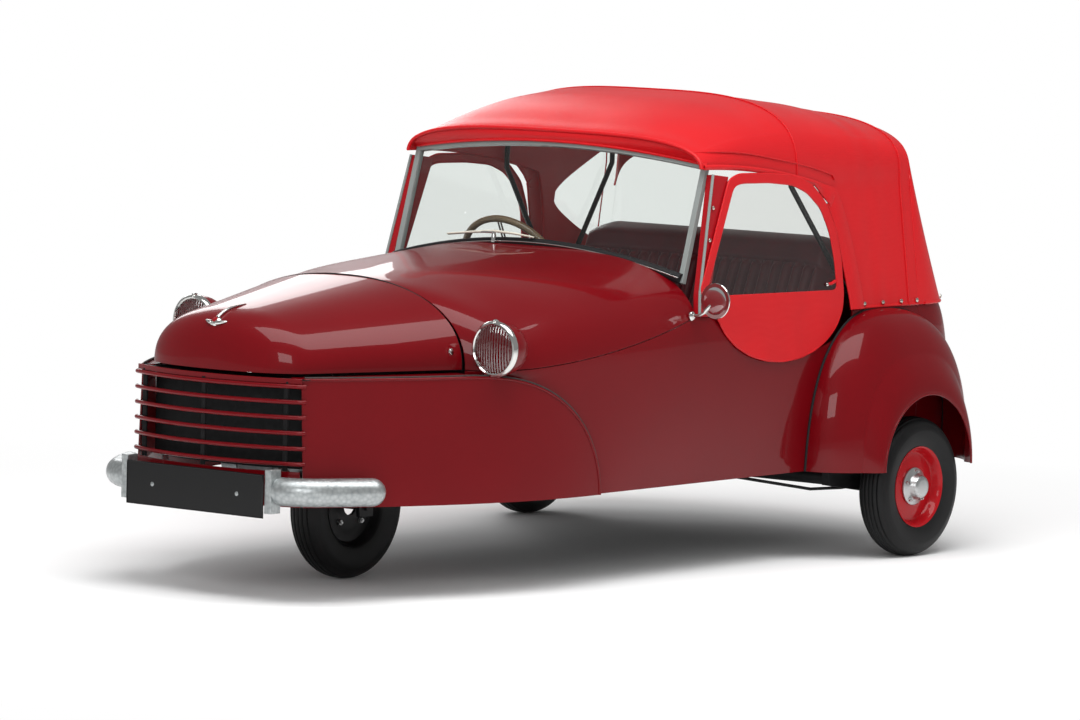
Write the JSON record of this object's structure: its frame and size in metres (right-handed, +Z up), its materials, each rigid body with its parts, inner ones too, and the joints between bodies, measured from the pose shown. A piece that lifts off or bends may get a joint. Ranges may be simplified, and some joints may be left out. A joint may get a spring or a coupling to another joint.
{
  "type": "three-wheeled car",
  "caption": "Light open three-wheeled car with a steered front wheel and engine unit, a sheet-metal body, a folding hood with side screens and a bench seat.",
  "frame": {"origin": "on the ground under the middle of the bounding box", "axes": "+X to the car's left, +Y to its rear, +Z up"},
  "size_m": [1.53, 2.8198, 1.3125],
  "materials": {
    "body_paint": "gloss",
    "wheel_paint": "gloss",
    "dark_steel": "satin",
    "chrome_trim": "polished",
    "galvanised": "dull",
    "clear_glass": "clear",
    "lamp_glass": "clear",
    "red_lens": "gloss",
    "hood_cloth": "coated",
    "clear_sheet": "clear",
    "seat_cover": "satin",
    "wheel_rim_cover": "gloss",
    "plate_black": "gloss",
    "engine_alloy": "cast",
    "hub_alloy": "machined",
    "tyre_rubber": "matte",
    "frame_metal": "satin"
  },
  "bodies": {
    "body": {"floor_pan": "dark_steel", "front_bulkhead": "dark_steel", "left_side_panel": "body_paint", "right_side_panel": "body_paint", "tail_panel": "body_paint", "scuttle": "body_paint", "dashboard": "body_paint", "front_cowl": "body_paint", "grille": "body_paint", "left_rear_wing": "body_paint", "right_rear_wing": "body_paint", "headlamps": "body_paint", "headlamp_glasses": "lamp_glass", "tail_lamps": "red_lens", "windscreen_frame": "frame_metal", "windscreen_glass": "clear_glass", "wiper": "chrome_trim", "hood": "hood_cloth", "hood_frame": "dark_steel", "rear_window": "clear_sheet", "left_side_screen": "hood_cloth", "right_side_screen": "hood_cloth", "side_windows": "clear_sheet", "seat_cushion": "seat_cover", "seat_back": "seat_cover", "steering_column": "dark_steel", "mirror": "chrome_trim", "front_bumper": "galvanised", "front_number_plate": "plate_black", "rear_number_plate": "plate_black", "brake_rod": "dark_steel", "rear_axle": "dark_steel"},
    "bonnet": {"bonnet": "body_paint", "bonnet_ornament": "chrome_trim"},
    "steering_unit": {"steering_unit": "dark_steel", "engine": "engine_alloy"},
    "front_wheel": {"front_tyre": "tyre_rubber", "front_wheel": "wheel_paint"},
    "left_rear_wheel": {"left_rear_tyre": "tyre_rubber", "left_rear_wheel": "wheel_paint", "left_hub": "hub_alloy"},
    "right_rear_wheel": {"right_rear_tyre": "tyre_rubber", "right_rear_wheel": "wheel_paint", "right_hub": "hub_alloy"},
    "steering_wheel": {"steering_wheel": "wheel_rim_cover"}
  },
  "joints": [
    {"name": "steering", "type": "hinge", "parent": "body", "child": "steering_unit", "pos_m": [0, -0.81, 0.5], "axis": [0, 0, 1], "range_deg": [-90, 90]},
    {"name": "front_wheel_spin", "type": "hinge", "parent": "steering_unit", "child": "front_wheel", "pos_m": [0, -0.79, 0.2], "axis": [1, 0, 0], "continuous": true},
    {"name": "rear_left_spin", "type": "hinge", "parent": "body", "child": "left_rear_wheel", "pos_m": [0.7, 0.87, 0.2], "axis": [1, 0, 0], "continuous": true},
    {"name": "rear_right_spin", "type": "hinge", "parent": "body", "child": "right_rear_wheel", "pos_m": [-0.7, 0.87, 0.2], "axis": [1, 0, 0], "continuous": true},
    {"name": "bonnet_hinge", "type": "hinge", "parent": "body", "child": "bonnet", "pos_m": [0, -0.8245, 0.838], "axis": [-1, 0, 0], "range_deg": [0, 60]},
    {"name": "steering_wheel_turn", "type": "hinge", "parent": "body", "child": "steering_wheel", "pos_m": [-0.262, 0.245, 0.778], "axis": [0, -0.8829, -0.4695], "range_deg": [-360, 360]}
  ],
  "couplings": [
    {"joint": "steering_wheel_turn", "follows": "steering", "ratio": -4}
  ]
}
